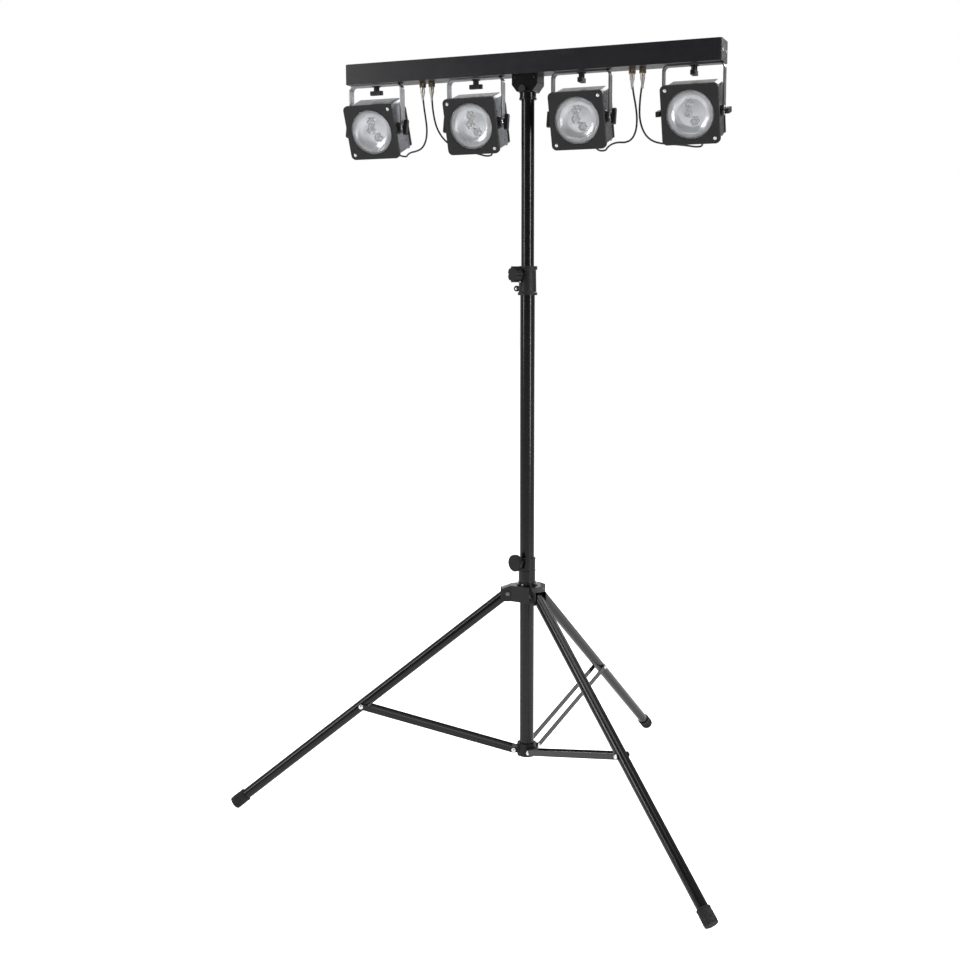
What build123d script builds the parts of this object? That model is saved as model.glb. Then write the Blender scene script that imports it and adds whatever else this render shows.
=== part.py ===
from build123d import *
import math
import os

os.makedirs("parts", exist_ok=True)

# Four square-fronted LED par heads under a crossbar, on a telescopic tripod stand that folds.
# Millimetres. The origin is on the floor under the mast. +X runs along the crossbar, -Y is the
# way the heads face, +Z is up.

# ---- driving dimensions: fits ----
running = 0.05              # radial clearance of a turning or sliding fit
gap = 0.3                   # air between faces of pieces that move apart
stud_r = 4.0                # M8 studs and bolts

# ---- driving dimensions: stand ----
lower_r, lower_wall = 20.0, 1.8
upper_r, upper_wall = 17.5, 1.5
lower_z0, lower_z1 = 166.0, 1500.0
upper_z0, upper_z1 = 1290.0, 2040.0
leg_r, leg_wall = 15.0, 1.5
leg_azimuths = (200.8, 320.8, 80.8)
pivot_r, pivot_z = 54.5, 636.0          # leg pivot, from the mast axis and the floor
foot_r, foot_z = 842.0, 12.4            # centre of a foot's end face
cap_r, cap_len, cap_floor = 18.0, 42.0, 6.0
tube_start = 6.0                        # the leg's tube starts this far below its pivot
tongue_r, tongue_half = 10.0, 14.5
brace_reach = 531.0                     # leg pivot to brace pin, along the leg
collar_r, collar_z = 37.4, 181.0        # brace pivot at the bottom collar
strip_in, strip_t, strip_w = 16.2, 2.5, 16.0
rivet_r, rivet_head_r, rivet_head = 3.0, 6.0, 2.0
spider_z0, spider_top, spider_edge = 614.0, 659.0, 649.0
spider_end, spider_flat, spider_t = 74.0, 48.0, 2.5
facet = 38.0                            # mast axis to the facet between two arms
sleeve_r, sleeve_z0, sleeve_z1 = 23.8, 640.0, 737.0
sleeve_flange_r = 29.5
bolt_hex_r, bolt_hex = 6.0, 3.5
hub_knob_azimuth, hub_knob_z, hub_knob_r = -116.0, 726.0, 23.5
clamp_z0, clamp_z1, clamp_step = 1463.0, 1541.0, 1500.0
clamp_r, clamp_flange_r = 23.0, 26.5
clamp_knob_azimuth, clamp_knob_z, clamp_knob_r = -126.0, 1519.0, 21.5
lug_x, lug_z = -31.0, 1481.0

# ---- driving dimensions: crossbar ----
bar_len, bar_depth, bar_height, bar_z0, sheet = 1050.0, 72.0, 55.0, 2043.0, 2.0
cap_t = 4.0
bar_mid = bar_z0 + bar_height / 2
bar_back = bar_depth / 2
shell_len = bar_len - 2 * cap_t
socket_half, socket_depth, socket_straight, socket_low = 36.0, 54.0, 2016.0, 1998.0
socket_r, socket_z0 = 22.0, 1979.0
socket_screw_z = 2004.0
connector_x = (-311.0, -284.0, 284.0, 312.0)
connector_y, connector_z = 8.0, 2010.0
button_x = (20.0, 38.0, 56.0, 74.0)
button_r, button_gap = 4.0, 0.3
mains_x = (-150.0, -105.0)
signal_x = (150.0, 192.0)

# ---- driving dimensions: heads ----
head_x = (-448.5, -149.5, 149.5, 448.5)
head_tilt = (21.0, 17.5, 17.0, 16.5)    # degrees below level
head_z = 1925.0                         # tilt axis
plate_w, plate_t, plate_corner = 150.0, 8.0, 13.0
plate_front = 40.0                      # tilt axis to the bezel's face
box_w, box_h, box_wall = 66.0, 72.0, 3.0     # half the width, half the height
box_back, sink_floor = 72.0, 50.0
slope = 29.0                            # bevel along the top of the back
low_roof = 58.0
window_r, lens_flange_r, lens_rise = 62.2, 66.0, 6.0
boss_r = 12.0
box_corner, box_bevel = 10.0, 8.0
gland_r, gland_len = 6.5, 10.0
arm_in, arm_t, arm_w, arm_bend = 77.0, 3.0, 26.0, 14.0
yoke_top = bar_z0 - 0.4
wing_w, stem_r = 14.0, 8.0
top_wing, top_wing_h, top_stem = 37.0, 11.0, 13.0
tilt_wing, tilt_wing_h, tilt_stem = 42.0, 10.0, 4.0
cable_r = 2.5

# The leg and brace lie in one upright plane through the mast axis.
leg_run = math.hypot(foot_r - pivot_r, pivot_z - foot_z)
leg_out = (foot_r - pivot_r) / leg_run
leg_down = (pivot_z - foot_z) / leg_run
pin_r = pivot_r + brace_reach * leg_out
pin_z = pivot_z - brace_reach * leg_down
brace_len = math.hypot(pin_r - collar_r, pin_z - collar_z)


def save(piece, name):
    """Label a finished piece and write its STEP file."""
    piece.label = name
    export_step(piece, f"parts/{name}.step")


def outward(azimuth):
    """The level unit vector away from the mast."""
    return Vector(math.cos(math.radians(azimuth)), math.sin(math.radians(azimuth)), 0)


def upright(azimuth):
    """The upright plane through the mast axis: x is the radius, y is the height."""
    away = outward(azimuth)
    return Plane(origin=(0, 0, 0), x_dir=away, z_dir=away.cross(Vector(0, 0, 1)))


def leg_section(azimuth, reach):
    """The plane across a leg, reach below its pivot, looking down the leg."""
    away = outward(azimuth)
    run = away * leg_out - Vector(0, 0, leg_down)
    start = away * pivot_r + Vector(0, 0, pivot_z) + run * reach
    return Plane(origin=start, x_dir=away.cross(Vector(0, 0, 1)), z_dir=run)


def side_seat(azimuth, radius, height):
    """A plane facing away from the mast, with its x direction level."""
    away = outward(azimuth)
    origin = away * radius + Vector(0, 0, height)
    return Plane(origin=origin, x_dir=Vector(0, 0, 1).cross(away), z_dir=away)


def tube(radius, wall, low, high):
    """A round tube standing on the mast axis."""
    with BuildPart() as body:
        with BuildSketch(Plane.XY.offset(low)):
            Circle(radius)
            Circle(radius - wall, mode=Mode.SUBTRACT)
        extrude(amount=high - low)
    return body.part


def wing_knob(seat, stem_len, stud_len, wing, height):
    """A T-shaped wing knob on a seat plane, with its threaded stud through the seat."""
    with BuildPart() as knob:
        with BuildSketch(seat.offset(gap)):
            Circle(stem_r)
        extrude(amount=stem_len)
        with BuildSketch(seat.offset(stem_len)):
            RectangleRounded(wing, wing_w, 4)
        extrude(amount=height)
        with BuildSketch(seat.offset(gap)):
            Circle(stud_r)
        extrude(amount=-stud_len - gap)
    return knob.part


# ---- hub: a pressed spider, the sleeve riveted into it, and the leg pivot bolts ----
def spider_outline(half, facet_at, end):
    """Three arms at the leg azimuths, with a straight facet between each two."""
    corner = (facet_at - half * math.sin(math.radians(60))) / math.cos(math.radians(60))
    points = []
    for azimuth in leg_azimuths:
        away = outward(azimuth)
        side = Vector(0, 0, 1).cross(away)
        points += [away * corner - side * half, away * corner + side * half]
    Polygon(*[(p.X, p.Y) for p in points], align=None)
    for azimuth in leg_azimuths:
        with Locations(Location(outward(azimuth) * end / 2, (0, 0, azimuth))):
            Rectangle(end, 2 * half)


def spider_block(half, facet_at, end, low, top, edge):
    """The spider's outline under a shallow cone that falls towards the arms' ends."""
    with BuildPart() as block:
        with BuildSketch(Plane.XY.offset(low)):
            spider_outline(half, facet_at, end)
        extrude(amount=top - low)
        with BuildSketch(Plane.XZ):
            with BuildLine():
                Polyline((0, low), (end + 20, low), (end + 20, edge), (end, edge),
                         (spider_flat, top), (0, top), close=True)
            make_face()
        revolve(axis=Axis.Z, mode=Mode.INTERSECT)
    return block.part


spider_shell = spider_block(strip_in + spider_t, facet, spider_end,
                            spider_z0, spider_top, spider_edge)
spider_hollow = spider_block(strip_in, facet - spider_t, spider_end + 10,
                             spider_z0 - 5, spider_top - spider_t, spider_edge - spider_t)

with BuildPart() as hub_spider:
    add(spider_shell)
    add(spider_hollow, mode=Mode.SUBTRACT)
    with BuildSketch(Plane.XY.offset(spider_z0)):
        Circle(sleeve_r)
    extrude(amount=spider_top, mode=Mode.SUBTRACT)
    for azimuth in leg_azimuths:
        with BuildSketch(upright(azimuth)):
            with Locations((pivot_r, pivot_z)):
                Circle(stud_r)
        extrude(amount=40, both=True, mode=Mode.SUBTRACT)
save(hub_spider.part, "hub_spider")

with BuildPart() as hub_sleeve:
    with BuildSketch(Plane.XY.offset(sleeve_z0)):
        Circle(sleeve_r)
    extrude(amount=sleeve_z1 - sleeve_z0)
    with BuildSketch(Plane.XY.offset(spider_top)):
        Circle(sleeve_flange_r)
    extrude(amount=3)
    with BuildSketch(side_seat(hub_knob_azimuth, lower_r, hub_knob_z)):
        Circle(9)
    extrude(amount=18)
    with BuildSketch(Plane.XY.offset(sleeve_z0)):
        Circle(lower_r + running)
    extrude(amount=sleeve_z1 - sleeve_z0, mode=Mode.SUBTRACT)
    with BuildSketch(side_seat(hub_knob_azimuth, 0, hub_knob_z)):
        Circle(stud_r + running)
    extrude(amount=60, mode=Mode.SUBTRACT)
    chamfer(hub_sleeve.edges().group_by(Axis.Z)[-1], length=0.8)
save(hub_sleeve.part, "hub_sleeve")

with BuildPart() as hub_knob:
    with BuildSketch(side_seat(hub_knob_azimuth, lower_r + 18 + gap, hub_knob_z)):
        Circle(hub_knob_r)
    extrude(amount=13)
    fillet(hub_knob.edges(), radius=2.5)
    with BuildSketch(side_seat(hub_knob_azimuth, lower_r + gap, hub_knob_z)):
        Circle(stud_r)
    extrude(amount=20)
save(hub_knob.part, "hub_knob")

with BuildPart() as leg_pivot_bolts:
    for azimuth in leg_azimuths:
        with BuildSketch(upright(azimuth).offset(-strip_in - spider_t - 5)):
            with Locations((pivot_r, pivot_z)):
                Circle(stud_r)
        extrude(amount=2 * (strip_in + spider_t + 5))
        for side in (-strip_in - spider_t - bolt_hex, strip_in + spider_t):
            with BuildSketch(upright(azimuth).offset(side)):
                with Locations((pivot_r, pivot_z)):
                    RegularPolygon(bolt_hex_r, 6)
            extrude(amount=bolt_hex)
save(leg_pivot_bolts.part, "leg_pivot_bolts")

# ---- legs, rubber feet and braces ----
for number, azimuth in enumerate(leg_azimuths, 1):
    with BuildPart() as leg:
        with BuildSketch(leg_section(azimuth, tube_start)):
            Circle(leg_r)
            Circle(leg_r - leg_wall, mode=Mode.SUBTRACT)
        extrude(amount=leg_run - cap_floor - tube_start)
        with BuildSketch(leg_section(azimuth, tube_start)):
            Circle(leg_r - leg_wall)
        extrude(amount=24)
        with BuildSketch(leg_section(azimuth, 0)):
            Rectangle(2 * tongue_half, 2 * tongue_r)
        extrude(amount=tube_start)
        with BuildSketch(upright(azimuth)):
            with Locations((pivot_r, pivot_z)):
                Circle(tongue_r)
        extrude(amount=tongue_half, both=True)
        with BuildSketch(upright(azimuth)):
            with Locations((pivot_r, pivot_z)):
                Circle(stud_r + running)
        extrude(amount=20, both=True, mode=Mode.SUBTRACT)
    save(leg.part, f"leg_{number}")

    with BuildPart() as foot:
        with BuildSketch(leg_section(azimuth, leg_run - cap_len)):
            Circle(cap_r)
        extrude(amount=cap_len)
        chamfer(foot.edges(), length=1.2)
        with BuildSketch(leg_section(azimuth, leg_run - cap_len)):
            Circle(leg_r)
        extrude(amount=cap_len - cap_floor, mode=Mode.SUBTRACT)
        split(bisect_by=Plane.XY, keep=Keep.TOP)
    save(foot.part, f"foot_{number}")

    away = outward(azimuth)
    lift = (pin_z - collar_z) / brace_len
    reach = (pin_r - collar_r) / brace_len
    brace_plane = Plane(origin=away * collar_r + Vector(0, 0, collar_z),
                        x_dir=away * reach + Vector(0, 0, lift),
                        z_dir=away.cross(Vector(0, 0, 1)))
    strip_out = strip_in + strip_t
    with BuildPart() as brace:
        for start in (strip_in, -strip_out):
            with BuildSketch(brace_plane.offset(start)):
                with Locations((brace_len / 2, 0)):
                    SlotCenterToCenter(brace_len, strip_w)
            extrude(amount=strip_t)
        with BuildSketch(brace_plane):
            Circle(rivet_r)
        extrude(amount=strip_out + rivet_head, both=True)
        for start in (strip_out, -strip_out - rivet_head):
            with BuildSketch(brace_plane.offset(start)):
                with Locations((0, 0), (brace_len, 0)):
                    Circle(rivet_head_r)
            extrude(amount=rivet_head)
        for start in (leg_r + 0.4, -strip_in - 0.1):
            with BuildSketch(brace_plane.offset(start)):
                with Locations((brace_len, 0)):
                    Circle(rivet_r)
            extrude(amount=strip_in + 0.1 - leg_r - 0.4)
    save(brace.part, f"brace_{number}")

# ---- bottom collar, mast tubes and the telescope clamp ----
ear_half, ear_out, ear_z = strip_in - 0.7, collar_r + 8.0, 11.0
with BuildPart() as foot_collar:
    with BuildSketch(Plane.XY.offset(lower_z0 - 3)):
        Circle(27)
    extrude(amount=36)
    for azimuth in leg_azimuths:
        with BuildSketch(upright(azimuth).offset(-ear_half)):
            with Locations((collar_r, collar_z)):
                Circle(ear_out - collar_r)
            with Locations((collar_r / 2, collar_z)):
                Rectangle(collar_r, 2 * (ear_out - collar_r))
        extrude(amount=2 * ear_half)
    with BuildSketch(Plane.XY.offset(lower_z0)):
        Circle(lower_r)
    extrude(amount=60, mode=Mode.SUBTRACT)
    for azimuth in leg_azimuths:
        with BuildSketch(upright(azimuth)):
            with Locations((collar_r, collar_z)):
                Circle(rivet_r + running)
        extrude(amount=30, both=True, mode=Mode.SUBTRACT)
save(foot_collar.part, "foot_collar")

save(tube(lower_r, lower_wall, lower_z0, lower_z1), "lower_tube")
save(tube(upper_r, upper_wall, upper_z0, upper_z1), "upper_tube")

with BuildPart() as mast_clamp:
    with BuildSketch(Plane.XZ):
        with BuildLine():
            Polyline((0, clamp_z0), (clamp_flange_r, clamp_z0), (clamp_flange_r, clamp_z0 + 6),
                     (clamp_r + 1, clamp_z0 + 9), (clamp_r, clamp_z1 - 12),
                     (clamp_flange_r, clamp_z1 - 8), (clamp_flange_r, clamp_z1 - 1),
                     (clamp_flange_r - 1, clamp_z1), (0, clamp_z1), close=True)
        make_face()
    revolve(axis=Axis.Z)
    with BuildSketch(side_seat(clamp_knob_azimuth, upper_r, clamp_knob_z)):
        Circle(9.5)
    extrude(amount=13)
    with BuildSketch(Plane.XZ):
        with Locations((lug_x, lug_z)):
            Circle(8)
        with Locations((lug_x / 2, lug_z)):
            Rectangle(-lug_x, 10)
    extrude(amount=2.5, both=True)
    with BuildSketch(Plane.XZ):
        with Locations((lug_x - 1, lug_z)):
            Circle(2)
    extrude(amount=10, both=True, mode=Mode.SUBTRACT)
    with BuildSketch(Plane.XY.offset(clamp_z0 - 1)):
        Circle(lower_r)
    extrude(amount=clamp_step - clamp_z0 + 1, mode=Mode.SUBTRACT)
    with BuildSketch(Plane.XY.offset(clamp_step)):
        Circle(upper_r + running)
    extrude(amount=60, mode=Mode.SUBTRACT)
    with BuildSketch(side_seat(clamp_knob_azimuth, 0, clamp_knob_z)):
        Circle(stud_r + running)
    extrude(amount=60, mode=Mode.SUBTRACT)
save(mast_clamp.part, "mast_clamp")

with BuildPart() as mast_clamp_knob:
    with BuildSketch(side_seat(clamp_knob_azimuth, upper_r + 13 + gap, clamp_knob_z)):
        Circle(clamp_knob_r)
        with PolarLocations(clamp_knob_r + 3, 6):
            Circle(6, mode=Mode.SUBTRACT)
    extrude(amount=19)
    with BuildSketch(side_seat(clamp_knob_azimuth, upper_r + gap, clamp_knob_z)):
        Circle(stud_r)
    extrude(amount=16)
save(mast_clamp_knob.part, "mast_clamp_knob")

# ---- crossbar ----
with BuildPart() as bar_shell:
    with BuildSketch(Plane.YZ.offset(-shell_len / 2)):
        with Locations((0, bar_mid)):
            Rectangle(bar_depth, bar_height)
        with Locations((sheet / 2, bar_mid)):
            Rectangle(bar_depth - sheet, bar_height - 2 * sheet, mode=Mode.SUBTRACT)
    extrude(amount=shell_len)
    with BuildSketch(Plane.XY.offset(bar_z0 - 1)):
        with Locations(*[(x, 0) for x in head_x]):
            Circle(stud_r + running)
        with Locations(*[(x, connector_y) for x in connector_x]):
            Circle(6.5)
    extrude(amount=sheet + 2, mode=Mode.SUBTRACT)
save(bar_shell.part, "bar_shell")

with BuildPart() as bar_rear_panel:
    with BuildSketch(Plane.XZ.offset(-bar_back)):
        with Locations((0, bar_mid)):
            Rectangle(shell_len, bar_height - 2 * sheet)
        with Locations(*[(x, bar_mid) for x in button_x]):
            Circle(button_r + button_gap, mode=Mode.SUBTRACT)
        with Locations((-25, bar_mid)):
            Rectangle(44, 18, mode=Mode.SUBTRACT)
        with Locations(*[(x, bar_mid) for x in mains_x]):
            Rectangle(28, 21, mode=Mode.SUBTRACT)
        with Locations(*[(x, bar_mid) for x in signal_x]):
            Circle(11.5, mode=Mode.SUBTRACT)
    extrude(amount=sheet)
save(bar_rear_panel.part, "bar_rear_panel")

with BuildPart() as bar_end_caps:
    for side in (-1, 1):
        with BuildSketch(Plane.YZ.offset(side * shell_len / 2)):
            with Locations((0, bar_mid)):
                RectangleRounded(bar_depth, bar_height, 2)
        extrude(amount=side * cap_t)
        with BuildSketch(Plane.YZ.offset(side * shell_len / 2)):
            with Locations((0, bar_mid)):
                Rectangle(bar_depth - 2 * sheet - 1, bar_height - 2 * sheet)
                Rectangle(bar_depth - 2 * sheet - 5, bar_height - 2 * sheet - 4,
                          mode=Mode.SUBTRACT)
        extrude(amount=-side * 10)
save(bar_end_caps.part, "bar_end_caps")


def socket_outline(inset):
    """The bracket's front outline: straight sides, then 45 degree tapers to the sleeve."""
    half = socket_half - inset
    neck = socket_r - inset
    low, straight = socket_low + inset, socket_straight + inset / 2
    Polygon((-half, bar_z0), (-half, straight), (-neck, low), (neck, low), (half, straight),
            (half, bar_z0), align=None)


with BuildPart() as pole_socket:
    with BuildSketch(Plane.XZ):
        socket_outline(0)
    extrude(amount=socket_depth / 2, both=True)
    with BuildSketch(Plane.XZ):
        socket_outline(3)
    extrude(amount=socket_depth / 2 - 3, both=True, mode=Mode.SUBTRACT)
    with BuildSketch(Plane.XY.offset(socket_z0)):
        Circle(socket_r)
    extrude(amount=bar_z0 - socket_z0)
    with BuildSketch(side_seat(-95, 0, socket_screw_z)):
        Circle(8)
    extrude(amount=socket_depth / 2 + 2)
    with BuildSketch(Plane.XY.offset(socket_z0)):
        Circle(upper_r + running)
    extrude(amount=upper_z1 + 1 - socket_z0, mode=Mode.SUBTRACT)
    with BuildSketch(side_seat(-95, 0, socket_screw_z)):
        Circle(stud_r + running)
    extrude(amount=60, mode=Mode.SUBTRACT)
    chamfer(pole_socket.edges().group_by(Axis.Z)[0].sort_by(SortBy.LENGTH)[-1], length=2)
save(pole_socket.part, "pole_socket")

with BuildPart() as socket_screw:
    with BuildSketch(side_seat(-95, socket_depth / 2 + 2 + gap, socket_screw_z)):
        Circle(9)
        with PolarLocations(10.5, 5):
            Circle(2.5, mode=Mode.SUBTRACT)
    extrude(amount=12)
    with BuildSketch(side_seat(-95, upper_r + gap, socket_screw_z)):
        Circle(stud_r)
    extrude(amount=socket_depth / 2 + 6 - upper_r)
save(socket_screw.part, "socket_screw")

with BuildPart() as cable_connectors:
    for x in connector_x:
        with BuildSketch(Plane(origin=(x, connector_y, 0), x_dir=(1, 0, 0), z_dir=(0, -1, 0))):
            with BuildLine():
                Polyline((0, connector_z), (4, connector_z), (5, connector_z + 3),
                         (5, connector_z + 13), (7, connector_z + 15), (9, connector_z + 17),
                         (9, bar_z0 - 3), (10.5, bar_z0 - 3), (10.5, bar_z0), (6.5, bar_z0),
                         (6.5, bar_z0 + 12), (0, bar_z0 + 12), close=True)
            make_face()
        revolve(axis=Axis((x, connector_y, 0), (0, 0, 1)))
save(cable_connectors.part, "cable_connectors")

with BuildPart() as power_supply:
    with BuildSketch(Plane.XZ.offset(-20)):
        with Locations((-422, bar_mid + 2)):
            RectangleRounded(180, 40, 2)
    extrude(amount=46)
save(power_supply.part, "power_supply")

with BuildPart() as control_board:
    with BuildSketch(Plane.XZ.offset(-22)):
        with Locations((20, bar_mid)):
            Rectangle(150, 44)
    extrude(amount=1.6)
    with BuildSketch(Plane.XZ.offset(-22)):
        with Locations((-25, bar_mid)):
            Rectangle(43, 17)
    extrude(amount=-bar_back + 22)
    with BuildSketch(Plane.XZ.offset(-22)):
        with Locations(*[(x, bar_mid) for x in button_x]):
            Rectangle(6, 6)
    extrude(amount=-3)
save(control_board.part, "control_board")

for number, x in enumerate(button_x, 1):
    with BuildPart() as button:
        with BuildSketch(Plane.XZ.offset(-26.5)):
            with Locations((x, bar_mid)):
                Circle(button_r)
        extrude(amount=-bar_back - 2 + 26.5)
        with BuildSketch(Plane.XZ.offset(-31)):
            with Locations((x, bar_mid)):
                Circle(button_r + 2)
        extrude(amount=-2.4)
        fillet(button.edges().group_by(Axis.Y)[-1], radius=0.8)
    save(button.part, f"menu_button_{number}")

with BuildPart() as mains_sockets:
    for x in mains_x:
        with BuildSketch(Plane.XZ.offset(-bar_back)):
            with Locations((x, bar_mid)):
                RectangleRounded(34, 27, 3)
        extrude(amount=-2)
        with BuildSketch(Plane.XZ.offset(-bar_back)):
            with Locations((x, bar_mid)):
                Rectangle(28, 21)
        extrude(amount=22)
        with BuildSketch(Plane.XZ.offset(-bar_back - 2)):
            with Locations((x, bar_mid)):
                Rectangle(24, 16.5)
        extrude(amount=18, mode=Mode.SUBTRACT)
        with BuildSketch(Plane.XZ.offset(-bar_back + 16)):
            with Locations((x - 7, bar_mid - 2), (x, bar_mid + 3), (x + 7, bar_mid - 2)):
                Rectangle(2, 4)
        extrude(amount=-12)
save(mains_sockets.part, "mains_sockets")

with BuildPart() as signal_sockets:
    for x in signal_x:
        with BuildSketch(Plane.XZ.offset(-bar_back)):
            with Locations((x, bar_mid)):
                RectangleRounded(28, 32, 3)
        extrude(amount=-2)
        with BuildSketch(Plane.XZ.offset(-bar_back)):
            with Locations((x, bar_mid)):
                Circle(11.5)
        extrude(amount=24)
        with BuildSketch(Plane.XZ.offset(-bar_back - 2)):
            with Locations((x, bar_mid)):
                Circle(9.3)
        extrude(amount=16, mode=Mode.SUBTRACT)
        with BuildSketch(Plane.XZ.offset(-bar_back + 14)):
            with Locations((x, bar_mid)):
                with PolarLocations(4.5, 3):
                    Circle(1.2)
        extrude(amount=-12)
save(signal_sockets.part, "signal_sockets")

# ---- heads ----
def head_plane(x, tilt):
    """The plane through a head's tilt axis, facing the way its lens faces."""
    down = math.radians(tilt)
    return Plane(origin=(x, 0, head_z), x_dir=(1, 0, 0),
                 z_dir=(0, -math.cos(down), -math.sin(down)))


def side_plane(x, tilt):
    """The plane across a head's tilt axis, facing +X, with its y direction up the head."""
    down = math.radians(tilt)
    return Plane(origin=(x, 0, head_z), z_dir=(1, 0, 0),
                 x_dir=(0, math.cos(down), math.sin(down)))


def gland_plane(x, tilt):
    """The plane of the cable gland, on the bevel under a head's back, facing back and down."""
    face = head_plane(x, tilt)
    middle = box_bevel / 2
    origin = face.origin - face.z_dir * (box_back - middle) - face.y_dir * (box_h - middle)
    return Plane(origin=origin, x_dir=(1, 0, 0), z_dir=-(face.z_dir + face.y_dir).normalized())


for number, (x, tilt) in enumerate(zip(head_x, head_tilt), 1):
    face = head_plane(x, tilt)
    plate_back = plate_front - plate_t

    with BuildPart() as bezel:
        with BuildSketch(face.offset(plate_back)):
            RectangleRounded(plate_w, plate_w, plate_corner)
        extrude(amount=plate_t)
        chamfer(bezel.faces().sort_by(Axis(face.origin, face.z_dir))[-1].edges(), length=1)
        with BuildSketch(face.offset(plate_back)):
            Circle(window_r)
        extrude(amount=plate_t, mode=Mode.SUBTRACT)
        with BuildSketch(face.offset(plate_back)):
            Circle(lens_flange_r + 0.5)
        extrude(amount=3, mode=Mode.SUBTRACT)
    save(bezel.part, f"head_{number}_bezel")

    lens_edge = window_r - 0.4
    dome_r = (lens_edge ** 2 + lens_rise ** 2) / (2 * lens_rise)
    lens_mid = math.sqrt(dome_r ** 2 - lens_edge ** 2 / 4) - dome_r + lens_rise
    with BuildPart() as lens:
        with BuildSketch(Plane(origin=face.origin, x_dir=(1, 0, 0), z_dir=-face.y_dir)):
            with BuildLine():
                Polyline((0, plate_back + 0.2), (lens_flange_r, plate_back + 0.2),
                         (lens_flange_r, plate_back + 2.8), (lens_edge, plate_back + 2.8),
                         (lens_edge, plate_front - 1))
                ThreePointArc((lens_edge, plate_front - 1),
                              (lens_edge / 2, plate_front - 1 + lens_mid),
                              (0, plate_front - 1 + lens_rise))
                Line((0, plate_front - 1 + lens_rise), (0, plate_back + 0.2))
            make_face()
        revolve(axis=Axis(face.origin, face.z_dir))
    save(lens.part, f"head_{number}_lens")

    with BuildPart() as housing:
        with BuildSketch(face.offset(-box_back)):
            RectangleRounded(2 * box_w, 2 * box_h, box_corner)
        extrude(amount=box_back + plate_back)
        rear = housing.faces().sort_by(Axis(face.origin, face.z_dir))[0]
        chamfer(rear.edges(), length=box_bevel)
        with BuildSketch(side_plane(x, tilt)):
            corner = box_back + box_h - slope
            Polygon((corner - box_h - 20, box_h + 20), (box_back + 20, box_h + 20),
                    (box_back + 20, corner - box_back - 20), align=None)
        extrude(amount=box_w + 20, both=True, mode=Mode.SUBTRACT)
        for start, roof in ((-sink_floor, low_roof), (-sink_floor / 2, box_h - box_wall)):
            with BuildSketch(face.offset(start)):
                with Locations((0, (roof - box_h + box_wall) / 2)):
                    RectangleRounded(2 * (box_w - box_wall), roof + box_h - box_wall, 3)
            extrude(amount=plate_back - start, mode=Mode.SUBTRACT)
        with BuildSketch(face.offset(-box_back)):
            with GridLocations(12, 0, 8, 1):
                with Locations((0, 17)):
                    Rectangle(5, 90)
        extrude(amount=14, mode=Mode.SUBTRACT)
        with BuildSketch(gland_plane(x, tilt)):
            Circle(gland_r)
        extrude(amount=gland_len)
        with BuildSketch(gland_plane(x, tilt)):
            Circle(gland_r + 1.5)
        extrude(amount=-6)
        with BuildSketch(side_plane(x, tilt).offset(-arm_in + 0.5)):
            Circle(boss_r)
        extrude(amount=arm_in - 0.5 - box_w + box_wall)
        with BuildSketch(side_plane(x, tilt).offset(arm_in - 0.5)):
            Circle(boss_r)
        extrude(amount=-(arm_in - 0.5 - box_w + box_wall))
        with BuildSketch(side_plane(x, tilt)):
            Circle(stud_r + running)
        extrude(amount=arm_in + 5, both=True, mode=Mode.SUBTRACT)
    save(housing.part, f"head_{number}_housing")

    arm_out = arm_in + arm_t
    with BuildPart() as yoke:
        with BuildSketch(Plane.XZ):
            with BuildLine():
                inner = yoke_top - arm_t
                low = head_z
                FilletPolyline((x - arm_out, low), (x - arm_out, yoke_top), (x + arm_out, yoke_top),
                               (x + arm_out, low), radius=arm_bend)
                Line((x + arm_out, low), (x + arm_in, low))
                FilletPolyline((x + arm_in, low), (x + arm_in, inner), (x - arm_in, inner),
                               (x - arm_in, low), radius=arm_bend - arm_t)
                Line((x - arm_in, low), (x - arm_out, low))
            make_face()
        extrude(amount=arm_w / 2, both=True)
        for start in (-arm_out, arm_in):
            with BuildSketch(Plane.YZ.offset(x + start)):
                with Locations((0, head_z)):
                    Circle(arm_w / 2)
            extrude(amount=arm_t)
        with BuildSketch(Plane.YZ.offset(x)):
            with Locations((0, head_z)):
                Circle(stud_r + running)
        extrude(amount=arm_out + 5, both=True, mode=Mode.SUBTRACT)
        with BuildSketch(Plane.XY.offset(yoke_top + 1)):
            with Locations((x, 0)):
                Circle(stud_r + running)
        extrude(amount=-10, mode=Mode.SUBTRACT)
    save(yoke.part, f"head_{number}_yoke")

    wing = (1, 0, 0) if number < 3 else (0, 1, 0)
    seat = Plane(origin=(x, 0, yoke_top - arm_t), x_dir=wing, z_dir=(0, 0, -1))
    save(wing_knob(seat, top_stem, arm_t + 8, top_wing, top_wing_h), f"head_{number}_top_knob")

    wing = (0, 0.2, 1) if number < 4 else (0, 1, 0.25)
    left = wing_knob(Plane(origin=(x - arm_out, 0, head_z), x_dir=wing, z_dir=(-1, 0, 0)),
                     tilt_stem, 16, tilt_wing, tilt_wing_h)
    right = wing_knob(Plane(origin=(x + arm_out, 0, head_z), x_dir=wing, z_dir=(1, 0, 0)),
                      tilt_stem, 16, tilt_wing, tilt_wing_h)
    with BuildPart() as tilt_knobs:
        add([left, right])
    save(tilt_knobs.part, f"head_{number}_tilt_knobs")

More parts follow.
